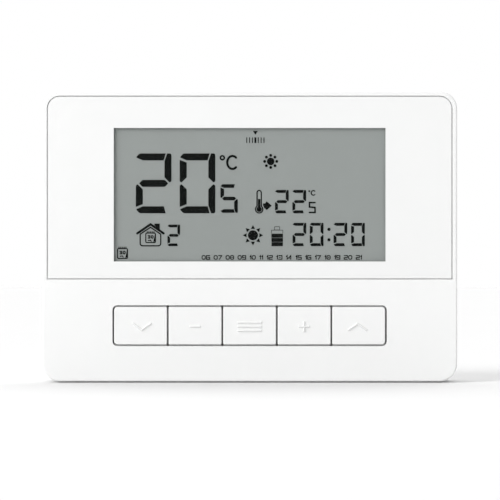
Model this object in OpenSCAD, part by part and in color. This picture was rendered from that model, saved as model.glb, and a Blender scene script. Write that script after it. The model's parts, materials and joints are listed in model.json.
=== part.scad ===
// Wall thermostat: a battery-powered programmable room thermostat on a wall plate.
// X runs across the front, Z up, and Y into the wall. The origin is the middle of the wall plate's
// back face, so the front faces -Y. Depths are counted in millimetres behind the front face.

/* [Body] */
// Width of the body across the front
body_w = 130; // [128:0.5:134]
// Height of the body
body_h = 91; // [90:0.5:94]
// Depth from the front face to the wall
body_d = 28; // [28:0.5:30]
// Corner radius of the body, seen from the front
corner_r = 5.6; // [5:0.1:6]
// Rounding along the front edge of the body
edge_r = 0.6; // [0.4:0.05:1]
// Thickness of the covers' side walls
wall = 2.2; // [2:0.1:2.4]

/* [Fascia and display window] */
// Distance from the body's edge to the fascia panel, at the top and sides
fascia_inset = 1.8; // [1.6:0.05:2]
// Distance from the body's top edge to the fascia panel's lower edge
fascia_drop = 58.7; // [58.5:0.1:59.5]
// Width of the visible display window
window_w = 85.1; // [83:0.1:86]
// Height of the visible display window
window_h = 41.8; // [40:0.1:42]
// Distance from the body's top edge to the window's top edge
window_drop = 11.6; // [11:0.1:11.8]
// Width of the groove round the fascia panel
groove = 0.32; // [0.25:0.01:0.45]

/* [Keys] */
// Width of the opening that holds the five keys
keys_w = 85.9; // [85:0.1:87]
// Height of that opening
keys_h = 12.8; // [12:0.1:13]
// Corner radius of that opening
keys_r = 1.6; // [1.2:0.1:2]
// Distance from the body's top edge to the opening's top edge
keys_drop = 67.1; // [66.8:0.1:68]
// Width of the gap between two keys, and round them
key_gap = 0.52; // [0.4:0.01:0.6]
// How far a key travels
key_travel = 0.5; // [0.3:0.05:0.6]

/* [Wall fixing] */
// Distance between the two slots that fit a flush box
box_pitch = 60; // [58:0.5:62]
// Diameter of the screw holes and width of the slots
fixing_d = 4.2; // [3.6:0.1:4.5]
// Length of each slot, end to end
slot_length = 9; // [7:0.5:10]

/* [Hidden] */
$fn = 96;
KEYS = ["down", "minus", "menu", "plus", "up"];

// Depths of the layers behind the front face
fascia_front = 0.08;            // the panel lies this far behind the rim round it
fascia_back = 0.9;
face_t = 1.8;                   // front wall of the cover
lens_d = [0.5, 1];              // clear window, in a pocket behind the fascia panel
polariser_d = 1.1;
film_t = 0.2;                   // polariser and reflector films
glass_d = polariser_d + film_t;
glass_t = 1.1;                  // each of the two glasses
guide_d = glass_d + 2 * glass_t + film_t;
guide_t = 4;
board_d = 9.8;
board_t = 1.6;
board_back = board_d + board_t;
split_d = 20.4;                 // parting line between the two covers
back_d = 23.4;                  // back face of the rear cover
back_t = 1.6;
plate_d = 23.7;                 // front rim of the wall plate
base_t = 1.8;                   // floor of the wall plate
base_d = body_d - base_t;

// Places in the front view, from the middle of the body
top = body_h / 2;
fascia_w = body_w - 2 * fascia_inset;
fascia_h = fascia_drop - fascia_inset;
fascia_z = top - fascia_inset - fascia_h / 2;
fascia_r = corner_r - fascia_inset;
window_z = top - window_drop - window_h / 2;
keys_z = top - keys_drop - keys_h / 2;
key_pitch = (keys_w - key_gap) / len(KEYS);
key_w = key_pitch - key_gap;
key_h = keys_h - 2 * key_gap;
function key_x(i) = (i - (len(KEYS) - 1) / 2) * key_pitch;

// Display parts
lens_w = window_w + 2.7;
lens_h = window_h + 2.9;
glass_w = window_w + 6.7;
glass_h = window_h + 7.9;
ledge = 2.5;                    // contact ledge of the front glass beyond the rear glass
frame_t = 2;                    // wall of the display frame
fit = 0.2;                      // clearance round parts that drop into a pocket

// Keys and their switches
flange_d = [face_t + 0.1, face_t + 1];
guide_front = flange_d[1] + key_travel + 0.3;
guide_back = guide_front + 1.1;
plunger_d = 5.6;                // depth of the plunger's tip
switch_h = 3.5;
symbol_relief = 0.5;            // how far the symbols stand out of the keys
symbol_w = 0.8;                 // width of their lines where they meet the key
symbol_slope = 0.7;             // how far their sides lean in, for each mm of height
symbol_drop = 0.3;              // how far below the keys' middle they stand
end_shift = 0.4;                // how far the end keys' symbols stand towards the middle key
stem_r = 2;
peg_r = 1;
peg_places = [for (x = [-1, 1]) [x * (keys_w / 2 + 2.6), keys_z]];

// Screws
screw_r = 1.15;
head_r = 2.1;
pilot_r = 1.2;
case_places = [for (x = [-1, 1], z = [-1, 1]) [x * (body_w / 2 - 6.2), z * (body_h / 2 - 6.2)]];
board_places = [for (x = [-1, 1], z = [28, -9]) [x * 54, z]];

// Battery bay
cell_r = 5.25;
cell_l = 44.5;
nub_r = 1.9;
nub_l = 1;
contact_t = 0.3;
dimple = 0.7;
bay_left = -57.5;
bay_l = 49.5;
bay_wall = 1.1;
cell_gap = 0.4;
bay_z = -24.2;
bay_h = 4 * cell_r + cell_gap + 2 * fit;
bay_floor = back_d - 2 * cell_r - fit;
cell_d = back_d - cell_r;
cell_z = [bay_z + cell_r + cell_gap / 2, bay_z - cell_r - cell_gap / 2];
spring_room = bay_l - 2 * contact_t - dimple - cell_l;

// Terminals and wiring
poles = 3;
pole_pitch = 5;
block_x = 9;
block_w = poles * pole_pitch + 1;
block_top = 7;
block_bottom = -3;
block_step = 1.6;               // height where the block steps down to its screws
block_front = 14.5;
screw_deck = 18;
pin_side = 0.8;
pin_end = 18.5;
entry_x = 9;                    // middle of the cable entry
entry_z = -15;
entry_size = [26, 14];
window_mid = [9.8, -7.4];       // terminal window in the rear cover
window_size = [28.4, 32];
function pole_x(i) = block_x + (i - (poles - 1) / 2) * pole_pitch;

// Wall plate
plate_inset = 1.5;
rim_t = 1.6;
corner_fixing = [104, 66];
prong = [7, 1.5];
prong_tip = 21.4;
prong_places = [for (x = [-38, 38], z = [-1, 1]) [x, z * (body_h / 2 - 8)]];

// ---- helpers -------------------------------------------------------------------------------

// Stands a piece on the plane at one depth, with its own +Z towards the front.
module stand(depth) translate([0, depth - body_d, 0]) rotate([90, 0, 0]) children();

// Extrudes a front-view drawing between two depths.
module layer(from, to) stand(to) linear_extrude(to - from) children();

module rod(place, r, from, to) layer(from, to) translate(place) circle(r);

module tile(place, size, from, to) layer(from, to) translate(place) square(size, center = true);

// A rectangle with true arcs at its corners.
module outline(w, h, r) {
    square([w, h - 2 * r], center = true);
    square([w - 2 * r, h], center = true);
    for (x = [-1, 1], y = [-1, 1]) translate([x * (w / 2 - r), y * (h / 2 - r)]) circle(r);
}

// Half of the side view of a slab whose top edge is rounded.
module edge_profile(half, edge, t) {
    square([half - edge, t]);
    square([half, t - edge]);
    translate([half - edge, t - edge]) circle(edge);
}

// A slab with a rounded front edge, standing on z = 0. radii are those of its left and right corners.
module slab(w, h, radii, edge, t) {
    for (side = [0, 1]) mirror([1 - side, 0, 0]) rotate([90, 0, 0]) {
        linear_extrude(h - 2 * radii[side], center = true) edge_profile(w / 2, edge, t);
    }
    for (side = [0, 1]) mirror([0, side, 0]) translate([radii[0] - w / 2, 0, 0]) {
        rotate([90, 0, 90]) linear_extrude(w - radii[0] - radii[1]) edge_profile(h / 2, edge, t);
    }
    for (side = [0, 1], y = [-1, 1]) {
        r = radii[side];
        translate([(2 * side - 1) * (w / 2 - r), y * (h / 2 - r), 0]) rotate_extrude() intersection() {
            edge_profile(r, edge, t);
            square([r, t]);
        }
    }
}

// A straight line with round ends, for marks on the mouldings.
module stroke(a, b, w) {
    run = b - a;
    translate(a) rotate(atan2(run.y, run.x)) translate([0, -w / 2]) square([norm(run), w]);
    for (p = [a, b]) translate(p) circle(w / 2);
}

// ---- covers and display --------------------------------------------------------------------

module fascia_shape(grow) {
    w = fascia_w + 2 * grow;
    h = fascia_h + 2 * grow;
    translate([0, fascia_z]) {
        outline(w, h, fascia_r + grow);
        translate([0, -h / 4]) square([w, h / 2], center = true);
    }
}

// Rows of slots in the top and bottom walls, where room air reaches the sensor.
module vents() {
    slot = [8, 1.6];
    for (i = [-3:3], side = [-1, 1], row = [0, 1]) {
        translate([i * 12, 13.2 + row * 3.4 - body_d, side * body_h / 2]) {
            cube([slot.x, slot.y, 4 * wall], center = true);
        }
    }
}

module front_cover() {
    lip = 0.9;
    color("white") difference() {
        union() {
            difference() {
                stand(split_d) slab(body_w, body_h, [corner_r, corner_r], edge_r, split_d);
                layer(face_t, split_d + 1) {
                    outline(body_w - 2 * wall, body_h - 2 * wall, corner_r - wall);
                }
                layer(split_d - 1.6, split_d + 1) {
                    outline(body_w - 2 * wall + 2 * lip, body_h - 2 * wall + 2 * lip, corner_r - wall + lip);
                }
            }
            for (p = case_places) rod(p, 2.6, face_t - 0.5, split_d - 0.6);
            for (p = board_places) rod(p, 2.4, face_t - 0.5, board_d);
            for (p = peg_places) rod(p, peg_r, face_t - 0.5, guide_back + 0.6);
        }
        layer(-1, fascia_back) fascia_shape(groove);
        tile([0, window_z], [glass_w + 2 * fit, glass_h + 2 * fit], 0, face_t + 1);
        layer(-1, face_t + 1) translate([0, keys_z]) outline(keys_w, keys_h, keys_r);
        for (p = case_places) rod(p, pilot_r, 8, split_d + 1);
        for (p = board_places) rod(p, pilot_r, 5, board_d + 1);
        vents();
    }
}

module fascia_panel() color("white") difference() {
    layer(fascia_front, fascia_back) fascia_shape(0);
    tile([0, window_z], [window_w, window_h], -1, fascia_back + 1);
    tile([0, window_z], [lens_w + 2 * fit, lens_h + 2 * fit], lens_d[0], fascia_back + 1);
}

module display_lens() color([0.9, 0.95, 0.95, 0.3]) {
    tile([0, window_z], [lens_w, lens_h], lens_d[0], lens_d[1]);
}

module lcd_front_polariser() color([0.59, 0.62, 0.61]) {
    tile([0, window_z], [glass_w - 2, glass_h - 4], polariser_d, glass_d);
}

module lcd_front_glass() color([0.85, 0.92, 0.9, 0.3]) {
    tile([0, window_z], [glass_w, glass_h], glass_d, glass_d + glass_t);
}

module lcd_rear_glass() color([0.85, 0.92, 0.9, 0.3]) {
    tile([0, window_z], [glass_w, glass_h - 2 * ledge], glass_d + glass_t, glass_d + 2 * glass_t);
}

module lcd_reflector() color([0.59, 0.62, 0.61]) {
    tile([0, window_z], [glass_w - 2, glass_h - 2 * ledge - 1], glass_d + 2 * glass_t, guide_d);
}

module light_guide() color([0.95, 0.95, 0.92]) {
    tile([0, window_z], [glass_w - 4, glass_h - 2 * ledge - 2], guide_d, guide_d + guide_t);
}

// Side-emitting lamps on the board, one at each end of the light guide.
module backlight_leds() color([0.96, 0.94, 0.8]) for (x = [-1, 1]) {
    tile([x * (glass_w / 2 - 0.9), window_z], [1.4, 3.8], guide_d + 0.6, board_d);
}

// Carries the glass, the light guide and the two zebra strips on the board.
module lcd_frame() {
    inner = [glass_w + 2 * fit, glass_h + 2 * fit];
    frame_d = face_t + 0.1;
    bar_z = glass_h / 2 - ledge - 0.6;
    color("whitesmoke") {
        difference() {
            tile([0, window_z], [inner.x + 2 * frame_t, inner.y + 2 * frame_t], frame_d, board_d);
            tile([0, window_z], inner, frame_d - 1, board_d + 1);
        }
        for (side = [-1, 1]) {
            tile([0, window_z + side * bar_z], [inner.x + 1, 0.8], guide_d, board_d);
            for (x = [-1, 1]) {
                foot = [x * (glass_w / 2 - 7), window_z + side * (bar_z - 3)];
                tile(foot, [6, 6], guide_d + guide_t, board_d);
            }
        }
    }
}

module zebra_strip(side) color([0.25, 0.25, 0.27]) {
    strip = [glass_w - 4, 1.8];
    tile([0, window_z + side * (glass_h / 2 - 1.2)], strip, glass_d + glass_t, board_d);
}

// ---- board ---------------------------------------------------------------------------------

module main_board() {
    size = [body_w - 12, body_h - 11];
    cut = 8.4;
    color("darkgreen") layer(board_d, board_back) difference() {
        square(size, center = true);
        for (x = [-1, 1], z = [-1, 1]) translate([x * size.x / 2, z * size.y / 2]) rotate(45) {
            square(cut * sqrt(2), center = true);
        }
        for (p = board_places) translate(p) circle(1.4);
    }
}

module controller_chip() color([0.12, 0.12, 0.13]) {
    tile([-24, 16], [12, 12], board_back + 0.1, board_back + 1.5);
}

module crystal() color("silver") layer(board_back, board_back + 3.5) translate([-42, 16]) {
    outline(4.6, 11, 2.2);
}

module relay() color([0.1, 0.25, 0.55]) stand(board_back + 10) translate([38, 24, 0]) {
    difference() {
        translate([-10, -5, 0]) cube([20, 10, 10]);
        for (y = [-1, 1]) translate([-11, y * 5 - 0.25, 9.6]) cube([22, 0.5, 1]);
    }
}

module capacitor() color([0.15, 0.17, 0.3]) {
    rod([19, 28], 3.15, board_back + 0.4, board_back + 7.4);
    rod([19, 28], 2.8, board_back, board_back + 0.4);
}

// A bead thermistor on two leads, by the lower vents.
module temperature_sensor() color([0.1, 0.1, 0.1]) {
    place = [48, -34];
    bead_d = board_back + 3.6;
    rod(place, 1.3, bead_d, bead_d + 1.8);
    stand(bead_d + 2.5) translate(place) cylinder(h = 0.7, r1 = 0.7, r2 = 1.3);
    for (x = [-1, 1]) tile(place + [x * 0.7, 0], [0.45, 0.45], board_back, bead_d + 0.2);
}

module pin_header() color([0.13, 0.13, 0.14]) {
    tile([block_x, 4.2], [block_w - 1, 3], board_back, board_back + 2.4);
}

module header_pins() color("gold") for (i = [0:poles - 1]) {
    tile([pole_x(i), 4.2], [pin_side, pin_side], board_back + 2.4, pin_end);
}

// ---- keys ----------------------------------------------------------------------------------

// Side view of a raised line, `half` wide to each side at z = 0. It starts a little below.
module ridge_profile(half) {
    sink = 0.3;
    foot = half + symbol_slope * sink;
    crest = half - symbol_slope * symbol_relief;
    polygon([[-foot, -sink], [foot, -sink], [crest, symbol_relief], [-crest, symbol_relief]]);
}

// A raised line from a to b on z = 0, whose sides and ends lean in.
module ridge(a, b) {
    run = b - a;
    half = (norm(run) + symbol_w) / 2;
    translate([(a.x + b.x) / 2, (a.y + b.y) / 2, 0]) rotate(atan2(run.y, run.x)) intersection() {
        rotate([90, 0, 90]) linear_extrude(3 * half, center = true) ridge_profile(symbol_w / 2);
        rotate([90, 0, 0]) linear_extrude(3 * symbol_w, center = true) ridge_profile(half);
    }
}

// The symbol moulded on each key.
module key_symbol(name) {
    arm = [2.7, 0.95];
    tip = name == "down" ? -arm.y : arm.y;
    if (name == "down" || name == "up") for (side = [-1, 1]) ridge([0, tip], [side * arm.x, -tip]);
    if (name == "minus" || name == "plus") ridge([-1.4, 0], [1.4, 0]);
    if (name == "plus") ridge([0, -1.4], [0, 1.4]);
    if (name == "menu") for (y = [-1.3, 0, 1.3]) ridge([-3.5, y], [3.5, y]);
}

// The cap's front block. Only the end keys have the opening's round corners, on their outer side.
module key_block(i) {
    edge = 0.25;
    plain_r = 0.4;
    outer_r = keys_r - key_gap;
    last = len(KEYS) - 1;
    radii = [i == 0 ? outer_r : plain_r, i == last ? outer_r : plain_r];
    slab(key_w, key_h, radii, edge, flange_d[0]);
}

module key_cap(i) {
    x = key_x(i);
    last = len(KEYS) - 1;
    symbol_x = x + (i == 0 ? end_shift : i == last ? -end_shift : 0);
    flange = [key_w - 0.2, keys_h + 1];
    hollow = [key_w - 3, key_h - 3];
    color("white") {
        difference() {
            union() {
                stand(flange_d[0]) translate([x, keys_z, 0]) key_block(i);
                tile([x, keys_z], flange, flange_d[0], flange_d[1]);
                stand(0) translate([symbol_x, keys_z - symbol_drop, 0]) key_symbol(KEYS[i]);
            }
            tile([x, keys_z], hollow, 1.5, flange_d[1] + 1);
        }
        rod([x, keys_z], stem_r, 1.2, plunger_d);
        tile([x, keys_z], [hollow.x + 1, 0.9], 1.2, flange_d[1]);
    }
}

module switch_plunger(i) color([0.1, 0.1, 0.1]) {
    place = [key_x(i), keys_z];
    rod(place, 1.7, plunger_d, 7.1);
    rod(place, 2.1, 7, 7.8);
}

module switch_body(i) {
    place = [key_x(i), keys_z];
    color([0.16, 0.16, 0.17]) difference() {
        tile(place, [6, 6], board_d - switch_h, board_d);
        rod(place, 1.8, board_d - switch_h - 1, board_d - switch_h + 0.7);
        rod(place, 2.25, board_d - switch_h + 0.6, board_d - 1.1);
    }
}

// Holds the caps square and stops their flanges from behind.
module key_guide() {
    color("whitesmoke") difference() {
        layer(guide_front, guide_back) translate([0, keys_z]) outline(keys_w + 9, keys_h + 1.6, 2);
        for (i = [0:len(KEYS) - 1]) rod([key_x(i), keys_z], stem_r + 0.15, 0, board_d);
        for (p = peg_places) rod(p, peg_r + 0.05, 0, board_d);
    }
}

// ---- rear cover and batteries --------------------------------------------------------------

// Plus and minus signs above and below the two cells.
module polarity_marks() for (side = [-1, 1], end = [-1, 1]) {
    translate([bay_left + bay_l / 2 + end * 19, bay_z + side * 14.4]) {
        stroke([-1.3, 0], [1.3, 0], 0.6);
        if (side != end) stroke([0, -1.3], [0, 1.3], 0.6);
    }
}

module rear_cover() {
    lip = 0.8;
    parting = 0.35;             // the shallow groove between the two covers
    shell_d = split_d + parting;
    back_edge = 0.8;
    lip_w = body_w - 2 * wall + 2 * lip;
    lip_h = body_h - 2 * wall + 2 * lip;
    bay_mid = [bay_left + bay_l / 2, bay_z];
    color("white") difference() {
        union() {
            difference() {
                union() {
                    stand(shell_d) mirror([0, 0, 1]) {
                        slab(body_w, body_h, [corner_r, corner_r], back_edge, back_d - shell_d);
                    }
                    layer(split_d, shell_d + 0.1) {
                        outline(body_w - 2 * parting, body_h - 2 * parting, corner_r - parting);
                    }
                    layer(split_d - 1.5, split_d + 0.5) outline(lip_w, lip_h, corner_r - wall + lip);
                }
                layer(split_d - 2, back_d - back_t) {
                    outline(lip_w - 2, lip_h - 2, corner_r - wall + lip - 1);
                }
            }
            for (p = case_places) rod(p, 3.2, split_d - 0.5, back_d - back_t + 0.5);
            tile(bay_mid, [bay_l + 2 * bay_wall, bay_h + 2 * bay_wall], bay_floor - bay_wall, back_d);
            layer(back_d - 0.5, back_d + 0.2) polarity_marks();
        }
        tile(bay_mid, [bay_l, bay_h], bay_floor, back_d + 1);
        tile(window_mid, window_size, split_d, back_d + 1);
        for (p = case_places) {
            rod(p, screw_r + 0.15, split_d - 2, back_d + 1);
            rod(p, head_r + 0.2, back_d - 1.5, back_d + 1);
        }
        for (p = prong_places) tile(p, prong + [0.4, 0.4], split_d, back_d + 1);
    }
}

// A cell lying along X. dir is 1 where its positive end points to +X.
module battery_cell(i, dir) {
    end = dir > 0 ? bay_left + bay_l - contact_t - dimple : bay_left + contact_t + dimple;
    translate([end, cell_d - body_d, cell_z[i]]) rotate([0, -90 * dir, 0]) {
        color("goldenrod") cylinder(h = nub_l, r = nub_r);
        color("dimgray") translate([0, 0, nub_l]) cylinder(h = cell_l - nub_l, r = cell_r);
    }
}

// A conical coil: rings of a round wire along a helix that narrows from r0 to r1.
module coil(r0, r1, length, wire_r, turns) {
    steps = 18 * turns;
    sides = 6;
    function ring(k) = let (t = k / steps, a = 360 * turns * t, r = r0 + (r1 - r0) * t)
        [for (s = [0:sides - 1]) let (b = 360 * s / sides)
            [(r + wire_r * cos(b)) * cos(a), (r + wire_r * cos(b)) * sin(a),
             wire_r + (length - 2 * wire_r) * t + wire_r * sin(b)]];
    points = [for (k = [0:steps]) each ring(k)];
    skin = [for (k = [0:steps - 1], s = [0:sides - 1]) let (n = (s + 1) % sides)
        [k * sides + s, (k + 1) * sides + s, (k + 1) * sides + n, k * sides + n]];
    first = [for (s = [0:sides - 1]) s];
    last = [for (s = [sides - 1:-1:0]) steps * sides + s];
    polyhedron(points, concat([first, last], skin));
}

// The spring behind a cell's flat end. dir points from the contact plate to the cell.
module battery_spring(i, dir) {
    x = dir > 0 ? bay_left + contact_t : bay_left + bay_l - contact_t;
    color("silver") translate([x + dir * 0.03, cell_d - body_d, cell_z[i]]) rotate([0, 90 * dir, 0]) {
        coil(3.4, 2.2, spring_room - 0.06, 0.3, 4);
    }
}

module contact_plate(x, z, h) translate([x, cell_d - body_d - cell_r + 0.8, z - h / 2]) {
    cube([contact_t, 2 * cell_r - 1.6, h]);
}

module contact_dimple(x, z, dir) translate([x, cell_d - body_d, z]) rotate([0, 90 * dir, 0]) {
    cylinder(h = dimple, r1 = 2.4, r2 = 1.5);
}

module battery_link_plate() color("silver") {
    contact_plate(bay_left, bay_z, 4 * cell_r - 2);
    contact_dimple(bay_left + contact_t, cell_z[0], 1);
}

module battery_plate_positive() color("silver") {
    contact_plate(bay_left + bay_l - contact_t, cell_z[1], 2 * cell_r - 2);
    contact_dimple(bay_left + bay_l - contact_t, cell_z[1], -1);
}

module battery_plate_negative() color("silver") {
    contact_plate(bay_left + bay_l - contact_t, cell_z[0], 2 * cell_r - 2);
}

// ---- screws --------------------------------------------------------------------------------

// A pan-head screw whose head's underside is at one depth, driven from behind.
module screw(place, seat, head_t, length) color("silver") difference() {
    union() {
        rod(place, head_r, seat, seat + head_t);
        rod(place, screw_r, seat - length, seat);
    }
    for (turn = [0, 90]) layer(seat + head_t - 0.8, seat + head_t + 1) {
        translate(place) rotate(turn) square([2.4, 0.6], center = true);
    }
}

module board_screws() for (p = board_places) screw(p, board_back, 1.4, 5.5);

module case_screws() for (p = case_places) screw(p, back_d - 1.5, 1.4, 12);

// ---- wall plate ----------------------------------------------------------------------------

// The two slots for a flush box, and the four corner holes. grow widens them into their rims.
module fixing_slots(grow) for (x = [-1, 1]) translate([x * box_pitch / 2, 0]) {
    square([slot_length - fixing_d, fixing_d + 2 * grow], center = true);
    for (end = [-1, 1]) translate([end * (slot_length - fixing_d) / 2, 0]) circle(fixing_d / 2 + grow);
}

module corner_holes(grow) for (x = [-1, 1], z = [-1, 1]) {
    translate([x * corner_fixing.x / 2, z * corner_fixing.y / 2]) circle(fixing_d / 2 + grow);
}

// Stiffening ribs on the plate's floor, clear of its holes.
module plate_ribs(w, h) {
    for (x = [-44.5, 44.5]) translate([x, 0]) square([1.2, h], center = true);
    for (z = [-27, 20]) translate([0, z]) square([w, 1.2], center = true);
}

// Shows which way up the plate goes.
module up_arrow() {
    stroke([0, -3], [0, 3], 0.8);
    for (x = [-2, 2]) stroke([x, 1], [0, 3], 0.8);
}

module wall_plate() {
    w = body_w - 2 * plate_inset;
    h = body_h - 2 * plate_inset;
    r = corner_r - plate_inset;
    color("white") difference() {
        union() {
            difference() {
                layer(plate_d, body_d) outline(w, h, r);
                layer(plate_d - 1, base_d) outline(w - 2 * rim_t, h - 2 * rim_t, r - rim_t);
            }
            for (p = prong_places) tile(p, prong, prong_tip, base_d + 0.5);
            layer(base_d - 1.6, base_d + 0.1) plate_ribs(w - 2 * rim_t + 1, h - 2 * rim_t + 1);
            layer(base_d - 0.4, base_d + 0.1) translate([0, 30]) up_arrow();
            layer(base_d - 0.6, base_d + 0.1) {
                fixing_slots(rim_t);
                corner_holes(rim_t);
            }
        }
        layer(base_d - 1, body_d + 1) {
            fixing_slots(0);
            corner_holes(0);
        }
        tile([entry_x, entry_z], entry_size, base_d - 1, body_d + 1);
    }
}

// Stands on the wall plate. The header's pins plug into its tall half, and the wires go into its foot.
module terminal_block() {
    color([0.25, 0.45, 0.3]) difference() {
        union() {
            layer(block_front, base_d) translate([block_x - block_w / 2, block_step]) {
                square([block_w, block_top - block_step]);
            }
            layer(screw_deck, base_d) translate([block_x - block_w / 2, block_bottom]) {
                square([block_w, block_step - block_bottom + 0.1]);
            }
        }
        for (i = [0:poles - 1]) {
            tile([pole_x(i), 4.2], [pin_side + 0.5, pin_side + 0.5], block_front - 1, pin_end + 1);
            rod([pole_x(i), -0.7], 1.75, screw_deck - 1, screw_deck + 3.2);
            tile([pole_x(i), -1.2], [3.2, 4], screw_deck + 3.1, base_d - 1);
        }
    }
}

// The metal cages that grip the wires.
module terminal_clamps() color("gold") for (i = [0:poles - 1]) difference() {
    tile([pole_x(i), -1.1], [3, 3.4], screw_deck + 3.3, base_d - 1.2);
    tile([pole_x(i), -1.1], [2, 4], screw_deck + 4.2, base_d - 1.8);
}

module terminal_screws() color("silver") for (i = [0:poles - 1]) difference() {
    rod([pole_x(i), -0.7], 1.6, screw_deck + 0.4, screw_deck + 3.1);
    tile([pole_x(i), -0.7], [4, 0.6], screw_deck, screw_deck + 1.2);
}

// ---- nodes ---------------------------------------------------------------------------------

front_cover();
fascia_panel();
display_lens();
lcd_front_polariser();
lcd_front_glass();
lcd_rear_glass();
lcd_reflector();
light_guide();
backlight_leds();
lcd_frame();
zebra_strip(1);  // zebra_strip_top
zebra_strip(-1);  // zebra_strip_bottom
main_board();
controller_chip();
crystal();
relay();
capacitor();
temperature_sensor();
pin_header();
header_pins();
key_guide();
for (i = [0:len(KEYS) - 1]) {
    key_cap(i);
    switch_plunger(i);
    switch_body(i);
}
rear_cover();
battery_cell(0, -1);  // battery_cell_upper
battery_cell(1, 1);  // battery_cell_lower
battery_spring(0, -1);  // battery_spring_upper
battery_spring(1, 1);  // battery_spring_lower
battery_link_plate();
battery_plate_positive();
battery_plate_negative();
board_screws();
case_screws();
wall_plate();
terminal_block();
terminal_clamps();
terminal_screws();
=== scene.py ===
"""Looks of a wall thermostat: plastics, the display's figures, the board's details, light and camera.

Drawings on the front are in millimetres, x to the right and z up. Those on the display are counted from the
middle of its window, and every piece is then placed from the frame's own boxes.
"""

import json
import math

import bmesh
import bpy
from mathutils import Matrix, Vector


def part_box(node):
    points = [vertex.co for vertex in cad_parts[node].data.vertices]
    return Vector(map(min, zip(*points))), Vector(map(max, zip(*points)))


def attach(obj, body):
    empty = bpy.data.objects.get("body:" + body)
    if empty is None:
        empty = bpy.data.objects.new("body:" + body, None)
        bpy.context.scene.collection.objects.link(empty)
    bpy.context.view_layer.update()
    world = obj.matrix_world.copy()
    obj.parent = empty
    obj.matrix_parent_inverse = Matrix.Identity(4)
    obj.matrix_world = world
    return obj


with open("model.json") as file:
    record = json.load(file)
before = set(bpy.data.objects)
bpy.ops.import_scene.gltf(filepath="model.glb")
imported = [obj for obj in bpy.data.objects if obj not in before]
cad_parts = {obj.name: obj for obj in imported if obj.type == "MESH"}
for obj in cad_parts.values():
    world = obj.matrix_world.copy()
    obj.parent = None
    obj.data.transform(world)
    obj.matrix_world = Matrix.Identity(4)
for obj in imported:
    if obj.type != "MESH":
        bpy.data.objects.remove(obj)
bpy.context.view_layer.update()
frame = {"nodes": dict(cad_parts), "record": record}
NODES = frame["nodes"]

MM = 0.001
FRONT = "front_unit"
WALL = "wall_plate"


# ---- places taken from the frame -----------------------------------------------------------------

def middle(node):
    low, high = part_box(node)
    return (low + high) / 2


COVER_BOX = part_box("front_cover")
FACE_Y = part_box("fascia_panel")[0].y
FLOOR_GAP = 0.35 * MM
FLOOR_Z = COVER_BOX[0].z - FLOOR_GAP
WINDOW = middle("display_lens")


# ---- outlines ------------------------------------------------------------------------------------

def arc(cx, cz, radius, start, end, steps=16):
    """Points on a circle from one angle to another, in degrees, counted from +x towards +z."""
    angles = [math.radians(start + (end - start) * i / steps) for i in range(steps + 1)]
    return [(cx + radius * math.cos(a), cz + radius * math.sin(a)) for a in angles]


def disc(cx, cz, radius, steps=40):
    return arc(cx, cz, radius, 0, 360 * (steps - 1) / steps, steps - 1)


def rounded(points, radii, steps=6):
    """A polygon whose corners are rounded. radii is one number, or one per corner."""
    if isinstance(radii, (int, float)):
        radii = [radii] * len(points)
    result = []
    for i, (corner, radius) in enumerate(zip(points, radii)):
        here = Vector(corner)
        if radius <= 0:
            result.append(corner)
            continue
        before = Vector(points[i - 1]) - here
        after = Vector(points[(i + 1) % len(points)]) - here
        half = before.angle(after) / 2
        reach = min(radius / math.tan(half), before.length / 2, after.length / 2)
        start = here + before.normalized() * reach
        end = here + after.normalized() * reach
        for k in range(steps + 1):
            t = k / steps
            p = start * (1 - t) ** 2 + here * (2 * t * (1 - t)) + end * t ** 2
            result.append((p.x, p.y))
    return result


def box_outline(x0, x1, z0, z1, radius=0.0):
    return rounded([(x0, z0), (x1, z0), (x1, z1), (x0, z1)], radius)


def band(points, width, closed=False):
    """The outline, or the two outlines if closed, of a line of one width with round ends."""
    line = [Vector(p) for p in points]
    count = len(line)
    half = width / 2
    sides = ([], [])
    for i, p in enumerate(line):
        before = line[i - 1] if closed or i > 0 else None
        after = line[(i + 1) % count] if closed or i < count - 1 else None
        d0 = (p - before).normalized() if before is not None else (after - p).normalized()
        d1 = (after - p).normalized() if after is not None else d0
        n0 = Vector((-d0.y, d0.x))
        n1 = Vector((-d1.y, d1.x))
        mitre = (n0 + n1).normalized()
        reach = half / max(0.35, mitre.dot(n0))
        for side, sign in zip(sides, (1, -1)):
            q = p + mitre * (reach * sign)
            side.append((q.x, q.y))
    if closed:
        return [sides[0], sides[1][::-1]]
    first, last = line[0], line[-1]
    back = math.degrees(math.atan2(*(line[0] - line[1]).yx))
    onward = math.degrees(math.atan2(*(line[-1] - line[-2]).yx))
    cap_end = arc(last.x, last.y, half, onward + 90, onward - 90, 8)
    cap_start = arc(first.x, first.y, half, back + 90, back - 90, 8)
    return [sides[0][1:-1] + cap_end + sides[1][1:-1][::-1] + cap_start]


def moved(outlines, dx, dz, scale=1.0):
    return [[(x * scale + dx, z * scale + dz) for x, z in outline] for outline in outlines]


# ---- pieces --------------------------------------------------------------------------------------

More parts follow.
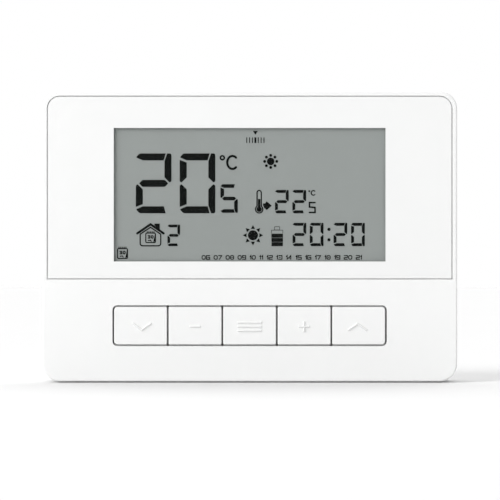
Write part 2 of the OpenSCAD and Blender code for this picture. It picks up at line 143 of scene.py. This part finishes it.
def extruded(name, outlines, front_y, thickness, centre=(0.0, 0.0)):
    """A flat piece facing -Y, filled between its outlines, which cut holes where they nest."""
    curve = bpy.data.curves.new(name + "_lines", "CURVE")
    curve.dimensions = "2D"
    curve.fill_mode = "BOTH"
    curve.extrude = 0.5
    for outline in outlines:
        spline = curve.splines.new("POLY")
        spline.points.add(len(outline) - 1)
        for point, (x, z) in zip(spline.points, outline):
            point.co = (x, z, 0, 1)
        spline.use_cyclic_u = True
    holder = bpy.data.objects.new(name + "_lines", curve)
    bpy.context.scene.collection.objects.link(holder)
    graph = bpy.context.evaluated_depsgraph_get()
    mesh = bpy.data.meshes.new_from_object(holder.evaluated_get(graph))
    bpy.data.objects.remove(holder)
    bpy.data.curves.remove(curve)
    for v in mesh.vertices:
        x, z, d = v.co
        v.co = (x * MM + centre[0], front_y + thickness * (d + 0.5), z * MM + centre[1])
    work = bmesh.new()
    work.from_mesh(mesh)
    bmesh.ops.remove_doubles(work, verts=work.verts, dist=1e-7)
    bmesh.ops.recalc_face_normals(work, faces=work.faces)
    work.to_mesh(mesh)
    work.free()
    mesh.name = name
    return piece(name, mesh)


def piece(name, mesh):
    thing = bpy.data.objects.new(name, mesh)
    bpy.context.scene.collection.objects.link(thing)
    return thing


def finish_piece(thing, body, material):
    """Gives a new piece its material and the body it moves with."""
    thing.data.materials.clear()
    thing.data.materials.append(material)
    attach(thing, body)
    return thing


# ---- materials -----------------------------------------------------------------------------------

def shader(name):
    """A new material: its node tree, its Principled node and its object coordinates, in metres."""
    made = bpy.data.materials.new(name)
    made.use_nodes = True
    tree = made.node_tree
    surface = tree.nodes["Principled BSDF"]
    place = tree.nodes.new("ShaderNodeTexCoord").outputs["Object"]
    return made, tree, surface, place


def noise(tree, place, grain, detail=2.0):
    """Noise whose grains measure grain metres."""
    made = tree.nodes.new("ShaderNodeTexNoise")
    made.inputs["Scale"].default_value = 1 / grain
    made.inputs["Detail"].default_value = detail
    tree.links.new(place, made.inputs["Vector"])
    return made.outputs["Fac"]


def spread(tree, value, low, high):
    """Maps the middle of a noise to the range low to high."""
    made = tree.nodes.new("ShaderNodeMapRange")
    made.inputs["From Min"].default_value = 0.3
    made.inputs["From Max"].default_value = 0.7
    made.inputs["To Min"].default_value = low
    made.inputs["To Max"].default_value = high
    tree.links.new(value, made.inputs["Value"])
    return made.outputs["Result"]


def mixed(tree, share, first, second):
    """A colour between two, by a share from 0 to 1."""
    made = tree.nodes.new("ShaderNodeMix")
    made.data_type = "RGBA"
    made.inputs["A"].default_value = (*first, 1)
    made.inputs["B"].default_value = (*second, 1)
    tree.links.new(share, made.inputs["Factor"])
    return made.outputs["Result"]


def bumped(tree, surface, height, depth):
    """Gives the surface fine relief, depth metres from its lowest to its highest."""
    made = tree.nodes.new("ShaderNodeBump")
    made.inputs["Strength"].default_value = 1.0
    made.inputs["Distance"].default_value = depth
    tree.links.new(height, made.inputs["Height"])
    tree.links.new(made.outputs["Normal"], surface.inputs["Normal"])


def moulded(name, colour, roughness, grain=0.25 * MM, relief=0.002 * MM, mottle=0.012, ior=1.5):
    """Moulded plastic: a fine spark texture, faint clouds in the colour, and patchy gloss."""
    made, tree, surface, place = shader(name)
    clouds = noise(tree, place, 14 * MM, 3)
    paler = [min(1.0, c * (1 + mottle)) for c in colour]
    darker = [c * (1 - mottle) for c in colour]
    tree.links.new(mixed(tree, clouds, darker, paler), surface.inputs["Base Color"])
    patches = spread(tree, noise(tree, place, 3 * MM, 4), roughness - 0.04, roughness + 0.04)
    tree.links.new(patches, surface.inputs["Roughness"])
    surface.inputs["IOR"].default_value = ior
    bumped(tree, surface, noise(tree, place, grain, 3), relief)
    return made


def clear(name, colour, alpha, roughness):
    """A clear sheet with the faintest ripple."""
    made, tree, surface, place = shader(name)
    surface.inputs["Alpha"].default_value = alpha
    surface.inputs["IOR"].default_value = 1.49
    darker = [c * 0.98 for c in colour]
    tree.links.new(mixed(tree, noise(tree, place, 9 * MM), darker, colour), surface.inputs["Base Color"])
    smears = spread(tree, noise(tree, place, 2 * MM), roughness, roughness * 1.5)
    tree.links.new(smears, surface.inputs["Roughness"])
    bumped(tree, surface, noise(tree, place, 6 * MM), 0.0006 * MM)
    return made


def metal(name, colour, roughness, grain=0.15 * MM):
    """Plated metal with fine drawing marks and a little tarnish."""
    made, tree, surface, place = shader(name)
    surface.inputs["Metallic"].default_value = 1.0
    duller = [c * 0.8 for c in colour]
    tree.links.new(mixed(tree, noise(tree, place, 2.5 * MM, 4), duller, colour), surface.inputs["Base Color"])
    marks = noise(tree, place, grain, 2)
    tree.links.new(spread(tree, marks, roughness - 0.08, roughness + 0.1), surface.inputs["Roughness"])
    bumped(tree, surface, marks, 0.002 * MM)
    return made


def lcd_ink():
    """Liquid crystal turned dark: nearly black and slightly green, with an even, fine grain."""
    made, tree, surface, place = shader("lcd_ink")
    grain = noise(tree, place, 0.12 * MM, 1)
    colour = mixed(tree, grain, INK_DARK, INK_PALE)
    tree.links.new(colour, surface.inputs["Base Color"])
    tree.links.new(spread(tree, grain, 0.7, 0.8), surface.inputs["Roughness"])
    surface.inputs["Specular IOR Level"].default_value = 0.04
    return made


def display_film(name):
    """A grey-green display film: pearly grains on a soft sheen."""
    made, tree, surface, place = shader(name)
    pearl = noise(tree, place, 0.08 * MM, 1)
    clouds = noise(tree, place, 22 * MM, 2)
    tree.links.new(mixed(tree, clouds, FILM_DARK, FILM_PALE), surface.inputs["Base Color"])
    tree.links.new(spread(tree, pearl, 0.62, 0.78), surface.inputs["Roughness"])
    surface.inputs["Specular IOR Level"].default_value = 0.2
    bumped(tree, surface, pearl, 0.001 * MM)
    return made


def circuit_board():
    """Green solder mask over faintly raised copper."""
    made, tree, surface, place = shader("board")
    cells = tree.nodes.new("ShaderNodeTexVoronoi")
    cells.inputs["Scale"].default_value = 1 / (4 * MM)
    cells.distance = "MANHATTAN"
    tree.links.new(place, cells.inputs["Vector"])
    pours = spread(tree, cells.outputs["Distance"], 0, 1)
    tree.links.new(mixed(tree, pours, BOARD_DARK, BOARD_PALE), surface.inputs["Base Color"])
    tree.links.new(spread(tree, noise(tree, place, 0.4 * MM), 0.28, 0.42), surface.inputs["Roughness"])
    surface.inputs["Coat Weight"].default_value = 0.4
    bumped(tree, surface, pours, 0.01 * MM)
    return made


def battery_sleeve(cell, nub_side):
    """A foil sleeve in two colours, parted by a bright ring.

    nub_side is 1 where the cell's nub points along +x, and -1 where it points the other way.
    """
    made, tree, surface, place = shader(cell)
    split = tree.nodes.new("ShaderNodeSeparateXYZ")
    tree.links.new(place, split.inputs["Vector"])
    grain = noise(tree, place, 0.5 * MM, 3)
    ramp = tree.nodes.new("ShaderNodeMapRange")
    low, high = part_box(cell)
    nub_end, flat_end = (high.x, low.x) if nub_side > 0 else (low.x, high.x)
    ramp.inputs["From Min"].default_value = nub_end
    ramp.inputs["From Max"].default_value = flat_end
    tree.links.new(split.outputs["X"], ramp.inputs["Value"])
    colours = tree.nodes.new("ShaderNodeValToRGB")
    colours.color_ramp.interpolation = "CONSTANT"
    stops = [
        (0.0, (0.5, 0.5, 0.52)),
        (0.028, (0.62, 0.3, 0.08)),
        (0.3, (0.7, 0.7, 0.7)),
        (0.315, (0.012, 0.012, 0.014)),
        (0.972, (0.5, 0.5, 0.52)),
    ]
    for i, (at, colour) in enumerate(stops):
        stop = colours.color_ramp.elements[i] if i < 2 else colours.color_ramp.elements.new(at)
        stop.position = at
        stop.color = (*colour, 1)
    tree.links.new(ramp.outputs["Result"], colours.inputs["Fac"])
    tree.links.new(colours.outputs["Color"], surface.inputs["Base Color"])
    tree.links.new(spread(tree, grain, 0.24, 0.34), surface.inputs["Roughness"])
    surface.inputs["Metallic"].default_value = 0.6
    bumped(tree, surface, grain, 0.001 * MM)
    return made


def zebra():
    """Thin black and pale layers across the strip."""
    made, tree, surface, place = shader("zebra_rubber")
    waves = tree.nodes.new("ShaderNodeTexWave")
    waves.bands_direction = "X"
    waves.inputs["Scale"].default_value = 1 / (1.2 * MM)
    tree.links.new(place, waves.inputs["Vector"])
    layers = mixed(tree, waves.outputs["Fac"], (0.02, 0.02, 0.02), (0.5, 0.5, 0.52))
    tree.links.new(layers, surface.inputs["Base Color"])
    surface.inputs["Roughness"].default_value = 0.8
    bumped(tree, surface, noise(tree, place, 0.2 * MM), 0.003 * MM)
    return made


WHITE = (0.826, 0.83, 0.826)
# The fascia's white is the cover's white made 3% darker. This is painted shade, which evens out the fascia
# standing brighter than the lower face in this light.
FASCIA_SHADED_WHITE = (0.804, 0.808, 0.804)
FILM_DARK = (0.307, 0.33, 0.32)
FILM_PALE = (0.317, 0.34, 0.33)
INK_DARK = (0.004, 0.005, 0.0045)
INK_PALE = (0.006, 0.0075, 0.007)
BOARD_DARK = (0.012, 0.085, 0.038)
BOARD_PALE = (0.02, 0.13, 0.055)

MATERIALS = {
    "cover": moulded("cover", WHITE, 0.46),
    "fascia": moulded("fascia", FASCIA_SHADED_WHITE, 0.42, grain=0.2 * MM, relief=0.0015 * MM),
    "keys": moulded("keys", WHITE, 0.42, grain=0.2 * MM, relief=0.0015 * MM),
    "wall_plate": moulded("wall_plate", (0.77, 0.775, 0.765), 0.5, grain=0.35 * MM, relief=0.004 * MM),
    "inner_plastic": moulded("inner_plastic", (0.74, 0.74, 0.72), 0.45),
    "black_plastic": moulded("black_plastic", (0.018, 0.018, 0.02), 0.5, relief=0.004 * MM, mottle=0.15),
    "relay_plastic": moulded("relay_plastic", (0.015, 0.09, 0.34), 0.35, mottle=0.06),
    "capacitor_sleeve": moulded("capacitor_sleeve", (0.015, 0.02, 0.08), 0.25, mottle=0.1),
    "terminal_plastic": moulded("terminal_plastic", (0.03, 0.19, 0.075), 0.45, mottle=0.06),
    "light_guide": moulded("light_guide", (0.86, 0.87, 0.83), 0.3),
    "led": moulded("led", (0.85, 0.78, 0.35), 0.4),
    "lens": clear("lens", (0.012, 0.012, 0.012), 0.04, 0.06),
    "polariser": display_film("polariser"),
    "display_glass": clear("display_glass", (0.03, 0.045, 0.04), 0.06, 0.05),
    "reflector": display_film("reflector"),
    "zebra_rubber": zebra(),
    "board": circuit_board(),
    "steel": metal("steel", (0.62, 0.61, 0.59), 0.3),
    "brass": metal("brass", (0.8, 0.62, 0.28), 0.3),
}

# The two cells lie side by side and point opposite ways.
SLEEVES = {
    "battery_cell_upper": battery_sleeve("battery_cell_upper", -1),
    "battery_cell_lower": battery_sleeve("battery_cell_lower", 1),
}


def dress_nodes():
    """Gives every CAD node the material of its slot, and each battery cell its own sleeve."""
    for row in frame["record"]["subparts"]:
        name = row["node"]
        node = NODES[name]
        node.data.materials.clear()
        node.data.materials.append(SLEEVES[name] if name in SLEEVES else MATERIALS[row["material_slot"]])


# ---- the display's figures -----------------------------------------------------------------------

FIGURE_SEGMENTS = {
    "0": "abcdef", "1": "bc", "2": "abdeg", "3": "abcdg", "4": "bcfg",
    "5": "acdfg", "6": "acdefg", "7": "abc", "8": "abcdefg", "9": "abcdfg",
}


def segments(w, h, t):
    """The seven segments, t thick, of a figure w wide and h high, from its lower left corner."""
    m = h / 2
    upper = {
        "a": rounded([(0, h - 0.56 * t), (0.55 * t, h), (w - 0.82 * t, h), (w - 1.1 * t, h - t), (t, h - t)],
                     [0.1 * t, 0.35 * t, 0, 0, 0]),
        "b": rounded([(w - 0.62 * t, h), (w, h), (w, m + 0.32 * t), (w - 0.27 * t, m + 0.11 * t),
                      (w - t, m + 0.86 * t), (w - t, h - 1.12 * t)],
                     [0, 0.62 * t, 0.2 * t, 0.15 * t, 0, 0]),
        "f": rounded([(0, h - 0.91 * t), (t, h - 1.31 * t), (t, m + 0.86 * t), (0.25 * t, m + 0.12 * t),
                      (0, m + 0.32 * t)],
                     [0, 0, 0, 0.12 * t, 0.12 * t]),
    }
    lower = {low: [(x, h - z) for x, z in upper[high]] for high, low in zip("abf", "dce")}
    g = [(0.46 * t, m), (0.96 * t, m + 0.5 * t), (w - 0.96 * t, m + 0.5 * t), (w - 0.46 * t, m),
         (w - 0.96 * t, m - 0.5 * t), (0.96 * t, m - 0.5 * t)]
    return {**upper, **lower, "g": g}


def figure(character, x, z, w, h, thickness):
    """The lit segments of one figure whose upper left corner is at x, z."""
    parts = segments(w, h, thickness)
    return moved([parts[s] for s in FIGURE_SEGMENTS[character]], x, z - h)


def figures(text, places, z, w, h, thickness):
    return [outline for c, x in zip(text, places) for outline in figure(c, x, z, w, h, thickness)]


# Small printed figures as lines on a box 1 wide and 1 high. No two lines of a figure cross.
FIGURE_LINES = {
    "0": [[(0, 0), (1, 0), (1, 1), (0, 1), (0, 0)]],
    "1": [[(0, 0.75), (1, 1), (1, 0)]],
    "2": [[(0, 1), (1, 1), (1, 0.52), (0, 0.42), (0, 0), (1, 0)]],
    "3": [[(0, 1), (1, 1), (1, 0), (0, 0)], [(0.25, 0.5), (0.45, 0.5)]],
    "4": [[(0.35, 0.3), (0, 0.3), (0.75, 1), (0.75, 0)]],
    "5": [[(1, 1), (0, 1), (0, 0.55), (1, 0.5), (1, 0), (0, 0)]],
    "6": [[(1, 1), (0, 1), (0, 0), (1, 0), (1, 0.52), (0.4, 0.52)]],
    "7": [[(0, 1), (1, 1), (0.35, 0)]],
    "8": [[(0, 0), (1, 0), (1, 1), (0, 1), (0, 0)], [(0.4, 0.5), (0.6, 0.5)]],
    "9": [[(0, 0), (1, 0), (1, 1), (0, 1), (0, 0.48), (0.6, 0.48)]],
}


def small_figure(character, x, z, w, h, width):
    """One printed figure and its width; a 1 is narrower than the rest. x, z is its lower left corner."""
    if character == "1":
        w = w * 0.43
    inset = width / 2
    outlines = []
    for points in FIGURE_LINES[character]:
        line = [(x + inset + px * (w - width), z + inset + pz * (h - width)) for px, pz in points]
        closed = line[0] == line[-1]
        outlines += band(rounded(line[:-1], 0.3 * h), width, True) if closed else band(line, width)
    return outlines, w


def small_text(text, x, z, w, h, width, gap):
    outlines = []
    for character in text:
        shape, wide = small_figure(character, x, z, w, h, width)
        outlines += shape
        x += wide + gap
    return outlines, x - gap


def degree_c(x, z, w, h, ring, width):
    """A degree sign and a C, from the ring's left and the C's top, with the C w wide and h high."""
    outlines = [disc(x + ring, z - ring, ring), disc(x + ring, z - ring, ring - 0.7 * width)]
    left = x + 2 * ring + 0.4 * width
    turn = [(px, pz * h / w) for px, pz in arc(0, 0, (w - width) / 2 * 1.08, 48, 312, 28)]
    line = [(left + w * 0.54 + px, z - h / 2 + pz) for px, pz in turn]
    return outlines + band(line, width)


def calendar(x, z, w):
    """A calendar leaf w wide, from its upper left corner: binding rings, a number, a curled right side."""
    line = 0.1 * w
    half = line / 2
    left, right, bottom, top = x + half, x + w - half, z - 1.12 * w + half, z - 0.13 * w - half
    outlines = band(box_outline(left, right, bottom, top, 0.12 * w), line, True)
    for i in range(5):
        ring = left + (0.15 + 0.175 * i) * (right - left)
        outlines.append(box_outline(ring - 0.045 * w, ring + 0.045 * w, top + half, top + half + 0.12 * w))
    number, _ = small_text("30", x + 0.22 * w, z - 0.7 * w, 0.26 * w, 0.32 * w, 0.09 * w, 0.04 * w)
    curl = [(right - half, top - 0.1 * w), (right - half, bottom + 0.1 * w), (right - 0.2 * w, bottom + half),
            (right - 0.1 * w, bottom + 0.5 * w)]
    fold = [(x + 0.28 * w, z - 0.88 * w), (x + 0.48 * w, z - 0.84 * w), (x + 0.56 * w, z - 0.95 * w)]
    return outlines + number + [curl] + band(fold, 0.09 * w)


def sun(x, z, core, rays):
    """A sun: a disc and eight rays, which rays(x, z, angle) draws."""
    outlines = [disc(x, z, core)]
    for i in range(8):
        outlines.append(rays(x, z, math.radians(45 * i)))
    return outlines


def dot_ray(x, z, angle):
    return disc(x + 1.9 * math.cos(angle), z + 1.9 * math.sin(angle), 0.46, 20)


def spike_ray(x, z, angle):
    across = Vector((-math.sin(angle), math.cos(angle)))
    out = Vector((math.cos(angle), math.sin(angle)))
    corners = [out * 2.0 + across * 0.66, out * 2.0 - across * 0.66, out * 3.2]
    return [(x + c.x, z + c.y) for c in corners]


def house():
    """A roof line, a chimney and walls, with a calendar leaf inside."""
    roof = band([(-35.1, -12.1), (-30.95, -9.25), (-26.85, -12.1)], 0.72)
    chimney = [[(-29.75, -9.05), (-28.05, -9.05), (-28.05, -10.75), (-28.2, -10.75), (-29.75, -9.6)]]
    left, right, eaves, base = -34.2, -27.75, -12.35, -16.0
    walls = rounded([(left, base), (right, base), (right, eaves), (-30.95, -10.2), (left, eaves)],
                    [0.9, 0.9, 0.35, 0, 0.35])
    return roof + chimney + band(walls, 0.4, True) + calendar(-32.6, -11.4, 3.35)


def thermometer():
    """Tube and bulb as one outline, the column and bulb inside it, and an arrow to the figures."""
    x, top, bulb_z = 3.09, 1.45, -4.55
    half, bulb = 0.66, 1.15
    meet = math.degrees(math.acos(half / bulb))
    tube = arc(x, top - half - 0.1, half, 0, 180, 12)
    round_bulb = arc(x, bulb_z, bulb, 180 - meet, 360 + meet, 36)
    outlines = band(tube + round_bulb, 0.38, True)
    inner, core = 0.36, 0.82
    neck = math.degrees(math.asin(inner / core))
    column = [(x - inner, -1.35)] + arc(x, bulb_z, core, 90 + neck, 450 - neck, 30) + [(x + inner, -1.35)]
    arrow = [(5.4, -2.05), (7.05, -3.43), (5.4, -4.85), (5.05, -4.35), (4.72, -4.25),
             (4.22, -3.1), (4.5, -2.66), (4.97, -2.75)]
    return outlines + [column, arrow]


def battery_level():
    """A battery with its terminal, and three bars of charge."""
    line = 0.14
    outlines = band(box_outline(7.9, 9.5, -11.0, -10.0, 0.15), line, True)
    outlines += band([(6.95, -12.05), (6.95, -11.1), (10.5, -11.1), (10.5, -12.05)], line)
    cell, gap = 1.24, 0.1
    for i in range(3):
        top = -12.2 - i * (cell + gap)
        outlines.append(box_outline(6.95, 10.55, top - cell, top))
    return outlines


def weekday_marks():
    """Seven bars, one per day, with a wide one for today, and a pointer over it."""
    pitch, today, middle_x = 0.9, 3, 1.9
    outlines = []
    for i in range(7):
        x = middle_x + (i - 3) * pitch
        half = 0.3 if i == today else 0.14
        outlines.append(box_outline(x - half, x + half, 16.2, 18.0, 0.08))
    x = middle_x + (today - 3) * pitch
    outlines.append([(x - 0.8, 20.0), (x + 0.8, 20.0), (x, 18.8)])
    return outlines


def hour_scale():
    """The hours from 06 to 21 along the display's lower edge."""
    x, z = -14.95, -20.34
    w, h, line, gap, space = 1.29, 1.42, 0.29, 0.1, 1.08
    outlines = []
    for hour in range(6, 22):
        shape, end = small_text(f"{hour:02d}", x, z, w, h, line, gap)
        outlines += shape
        x = end + space
    return outlines


def colon(x, z0, z1):
    return [disc(x, z, 0.5, 24) for z in (z0, z1)]


def lcd_pieces():
    """The display's dark figures and signs, just in front of the front polariser."""
    ink = lcd_ink()
    clearance, thickness = 0.05 * MM, 0.02 * MM
    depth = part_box("lcd_front_polariser")[0].y - clearance
    centre = (WINDOW.x - 0.1 * MM, WINDOW.z)
    small = (4.3, 7.3, 0.92)
    drawings = {
        "lcd_room_figures": figures("20", (-35.55, -21.8), 12.95, 11.15, 18.75, 2.18),
        "lcd_room_half": figure("5", -9.05, 3.3, 5.45, 8.95, 1.14),
        "lcd_room_unit": degree_c(-9.3, 12.45, 3.75, 4.65, 0.86, 0.72),
        "lcd_house": house(),
        "lcd_programme": figure("2", -25.65, -9.35, 3.95, 6.75, 0.84),
        "lcd_calendar": calendar(-41.45, -16.25, 3.45),
        "lcd_hour_scale": hour_scale(),
        "lcd_weekday_marks": weekday_marks(),
        "lcd_day_sun": sun(6.7, 10.45, 1.18, dot_ray),
        "lcd_mode_sun": sun(1.15, -12.7, 1.57, spike_ray),
        "lcd_thermometer": thermometer(),
        "lcd_set_figures": figures("22", (8.05, 13.5), 1.5, *small),
        "lcd_set_half": small_figure("5", 18.6, -5.8, 2.25, 3.6, 0.5)[0],
        "lcd_set_unit": degree_c(18.5, 1.42, 1.6, 1.68, 0.3, 0.34),
        "lcd_battery": battery_level(),
        "lcd_clock": figures("2020", (13.55, 18.95, 26.4, 31.9), -8.8, *small) + colon(24.95, -10.85, -14.1),
    }
    for name, outlines in drawings.items():
        finish_piece(extruded(name, outlines, depth, thickness, centre), FRONT, ink)


# ---- details on the board, the wall plate and the rear cover -------------------------------------

def blocks(name, boxes):
    """One piece made of boxes, each given by its low and its high corner in metres."""
    mesh = bpy.data.meshes.new(name)
    work = bmesh.new()
    for low, high in boxes:
        for v in bmesh.ops.create_cube(work, size=1)["verts"]:
            v.co = [low[k] + (v.co[k] + 0.5) * (high[k] - low[k]) for k in range(3)]
    work.to_mesh(mesh)
    work.free()
    return piece(name, mesh)


def prisms(name, solids):
    """One piece made of prisms, each given by an outline of points and how far it is swept, in metres."""
    mesh = bpy.data.meshes.new(name)
    work = bmesh.new()
    for outline, sweep in solids:
        near = [work.verts.new(Vector(p) - Vector(sweep) / 2) for p in outline]
        far = [work.verts.new(Vector(p) + Vector(sweep) / 2) for p in outline]
        work.faces.new(near)
        work.faces.new(far[::-1])
        for i in range(len(near)):
            work.faces.new((near[i - 1], far[i - 1], far[i], near[i]))
    bmesh.ops.recalc_face_normals(work, faces=work.faces)
    work.to_mesh(mesh)
    work.free()
    return piece(name, mesh)


def chip_legs(deck):
    """Ten bent legs on each side of the controller: a shoulder at the case and a foot on the board."""
    low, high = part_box("controller_chip")
    wide = 0.36 * MM
    shoulder, foot = 0.35 * MM, 1.1 * MM
    shoulder_y, foot_y = (deck + high.y) / 2, deck + 0.15 * MM
    profile = [(0, deck), (foot, deck), (foot, foot_y), (shoulder, foot_y),
               (shoulder, shoulder_y), (0, shoulder_y)]
    legs = []
    for i in range(10):
        step = (i - 4.5) * MM
        x, z = (low.x + high.x) / 2 + step, (low.z + high.z) / 2 + step
        for side, edge_x, edge_z in ((-1, low.x, low.z), (1, high.x, high.z)):
            legs.append(([(edge_x + side * out, y, z) for out, y in profile], (0, 0, wide)))
            legs.append(([(x, y, edge_z + side * out) for out, y in profile], (wide, 0, 0)))
    return legs


# Middles of the small parts soldered behind the board, in millimetres, and whether they lie along x.
SMALL_PARTS = [
    (-34, 22, True), (-34, 19.5, True), (-34, 10, False), (-31.5, 10, False),
    (-14, 22.5, True), (-14, 20, True), (-27, 26, False), (-24, 26, False),
    (-21, 26, False), (26, 12, False), (23.5, 12, False), (26, 33, True),
    (44, -28, True), (44, -30.5, True), (52, -28, False), (30, -12, False),
    (33, -12, False), (-2, 26, True),
]


def small_parts(deck):
    """The bodies and the soldered ends of the small parts."""
    half, end, wide, tall = 1.0 * MM, 0.4 * MM, 0.62 * MM, 0.55 * MM
    bodies, ends = [], []
    for x, z, along in SMALL_PARTS:
        x, z = x * MM, z * MM
        spans = [(-half + end, half - end, wide * 0.94, tall * 0.92, bodies)]
        spans += [(-half, -half + end, wide, tall, ends), (half - end, half, wide, tall, ends)]
        for a, b, w, t, target in spans:
            if along:
                target.append(((x + a, deck, z - w), (x + b, deck + t, z + w)))
            else:
                target.append(((x - w, deck, z + a), (x + w, deck + t, z + b)))
    return bodies, ends


def traces():
    """Copper lines in three bundles: chip to relay, chip to the pin header, and chip to the sensor."""
    width = 0.3
    outlines = []
    for i in range(6):
        z = 13.5 + i
        rise = 3 + 0.6 * i
        outlines += band([(-16.5, z), (6, z), (6 + rise, z + rise), (27, z + rise)], width)
    for i in range(3):
        z = 12.3 - i
        outlines += band([(-16.5, z), (3 - 2 * i, z), (13 - 5 * i, 6.6 + 0.4 * i), (14 - 5 * i, 5.8)], width)
    for i in range(2):
        z = -9.5 + i * 1.2
        outlines += band([(-6, z), (38 + i, z), (46 + i, z - 8), (46 + i, -31)], width)
    return outlines


def board_details():
    """The controller's legs, the small parts, the copper lines and the capacitor's metal top."""
    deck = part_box("main_board")[1].y
    finish_piece(prisms("chip_legs", chip_legs(deck)), FRONT, MATERIALS["steel"])
    bodies, ends = small_parts(deck)
    finish_piece(blocks("small_part_bodies", bodies), FRONT, MATERIALS["black_plastic"])
    finish_piece(blocks("small_part_ends", ends), FRONT, MATERIALS["steel"])
    copper = moulded("masked_copper", (0.035, 0.22, 0.085), 0.32, relief=0.001 * MM, mottle=0.06)
    thickness = 0.04 * MM
    finish_piece(extruded("board_traces", traces(), deck, thickness), FRONT, copper)
    low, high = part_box("capacitor")
    centre = ((low.x + high.x) / 2, (low.z + high.z) / 2)
    sunk, radius = 0.01 * MM, 2.5
    top = extruded("capacitor_top", [disc(0, 0, radius)], high.y - sunk, thickness, centre)
    finish_piece(top, FRONT, MATERIALS["steel"])


def print_ink():
    """Dark grey pad printing."""
    return moulded("print_ink", (0.05, 0.05, 0.055), 0.6, relief=0.0005 * MM, mottle=0.1)


def terminal_numbers(ink):
    """A number on the wall plate under each terminal."""
    floor_y, below, pitch, thickness = -1.8 * MM, 2.8 * MM, 5, 0.03 * MM
    w, h, line = 1.2, 2.2, 0.34
    outlines = []
    for i, number in enumerate("123"):
        outlines += small_figure(number, (i - 1) * pitch - w / 2, -h / 2, w, h, line)[0]
    centre = (middle("terminal_block").x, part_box("terminal_block")[0].z - below)
    made = extruded("terminal_numbers", outlines, floor_y - thickness, thickness, centre)
    finish_piece(made, WALL, ink)


def wiring_label(ink):
    """A paper label on the rear cover, with a change-over contact drawn on it."""
    back_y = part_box("rear_cover")[1].y
    paper = moulded("label_paper", (0.8, 0.8, 0.79), 0.55, grain=0.1 * MM, relief=0.0008 * MM, mottle=0.03)
    centre = (-33 * MM, 20 * MM)
    paper_t, ink_t = 0.05 * MM, 0.015 * MM
    sheet = extruded("wiring_label", [box_outline(-17, 17, -7.5, 7.5, 1.2)], back_y, paper_t, centre)
    finish_piece(sheet, FRONT, paper)
    outlines = band(box_outline(-15.8, 15.8, -6.3, 6.3, 0.8), 0.25, True)
    for x in (-8, 0, 8):
        outlines += band(disc(x, -3.4, 0.9, 24), 0.3, True)
        outlines += band([(x, -2.1), (x, 1.2)], 0.35)
    outlines += band([(0.2, 1.7), (6.9, 3.6)], 0.4)
    lines = extruded("wiring_label_lines", outlines, back_y + paper_t, ink_t, centre)
    finish_piece(lines, FRONT, ink)


# ---- light, floor and camera ---------------------------------------------------------------------

def area_light(name, place, target, size, power):
    lamp = bpy.data.lights.new(name, "AREA")
    lamp.shape = "RECTANGLE"
    lamp.size, lamp.size_y = size
    lamp.energy = power
    thing = bpy.data.objects.new(name, lamp)
    thing.location = place
    thing.rotation_mode = "QUATERNION"
    thing.rotation_quaternion = (Vector(target) - Vector(place)).to_track_quat("-Z", "Y")
    bpy.context.scene.collection.objects.link(thing)


def sun_light(name, source, angle, strength):
    """An even, soft light over the whole floor. source is the direction it comes from."""
    lamp = bpy.data.lights.new(name, "SUN")
    lamp.angle = math.radians(angle)
    lamp.energy = strength
    thing = bpy.data.objects.new(name, lamp)
    thing.rotation_mode = "QUATERNION"
    thing.rotation_quaternion = Vector(source).to_track_quat("Z", "Y")
    bpy.context.scene.collection.objects.link(thing)


def lights():
    """Two soft suns, a small lamp and a white world, which the camera sees brighter than it shines."""
    world = bpy.data.worlds.new("studio")
    world.use_nodes = True
    tree = world.node_tree
    sky = tree.nodes["Background"]
    sky.inputs["Color"].default_value = (1, 1, 1, 1)
    light, seen = 0.58, 1.0
    strength = tree.nodes.new("ShaderNodeMapRange")
    strength.inputs["To Min"].default_value = light
    strength.inputs["To Max"].default_value = seen
    rays = tree.nodes.new("ShaderNodeLightPath")
    tree.links.new(rays.outputs["Is Camera Ray"], strength.inputs["Value"])
    tree.links.new(strength.outputs["Result"], sky.inputs["Strength"])
    bpy.context.scene.world = world
    sun_light("top", (0.0, 0.6, 0.75), 60, 1.6)
    sun_light("key", (-0.6, -0.6, 0.5), 35, 1.75)
    area_light("side", (-0.45, -0.3, 0.2), (0, 0, 0), (0.2, 0.2), 0.4)


def floor():
    """A plain pale floor just under the body."""
    made, tree, surface, place = shader("floor")
    dark, pale = (0.775, 0.775, 0.775), (0.785, 0.785, 0.785)
    tree.links.new(mixed(tree, noise(tree, place, 0.2), dark, pale), surface.inputs["Base Color"])
    surface.inputs["Roughness"].default_value = 0.9
    surface.inputs["Specular IOR Level"].default_value = 0.1
    reach = 3.0
    corners = [(x * reach, y * reach, FLOOR_Z) for x, y in ((-1, -1), (1, -1), (1, 1), (-1, 1))]
    mesh = bpy.data.meshes.new("floor")
    mesh.from_pydata(corners, [], [(0, 1, 2, 3)])
    mesh.materials.append(made)
    piece("floor", mesh)


def camera():
    """Head on, a little below the body's middle, as far back as a long lens stands.

    seen is how wide a strip of the body's face fills the view.
    """
    distance, seen, aside, below = 1.2, 0.15655, 0.12 * MM, 4.31 * MM
    data = bpy.data.cameras.new("camera")
    data.sensor_width = 36
    data.lens = data.sensor_width * distance / seen
    data.clip_start = 0.05
    thing = bpy.data.objects.new("camera", data)
    thing.location = (aside, FACE_Y - distance, -below)
    thing.rotation_euler = (math.radians(90), 0, 0)
    bpy.context.scene.collection.objects.link(thing)
    bpy.context.scene.camera = thing


dress_nodes()
lcd_pieces()
board_details()
printing = print_ink()
terminal_numbers(printing)
wiring_label(printing)
lights()
floor()
camera()
bpy.context.scene.view_settings.view_transform = "Standard"
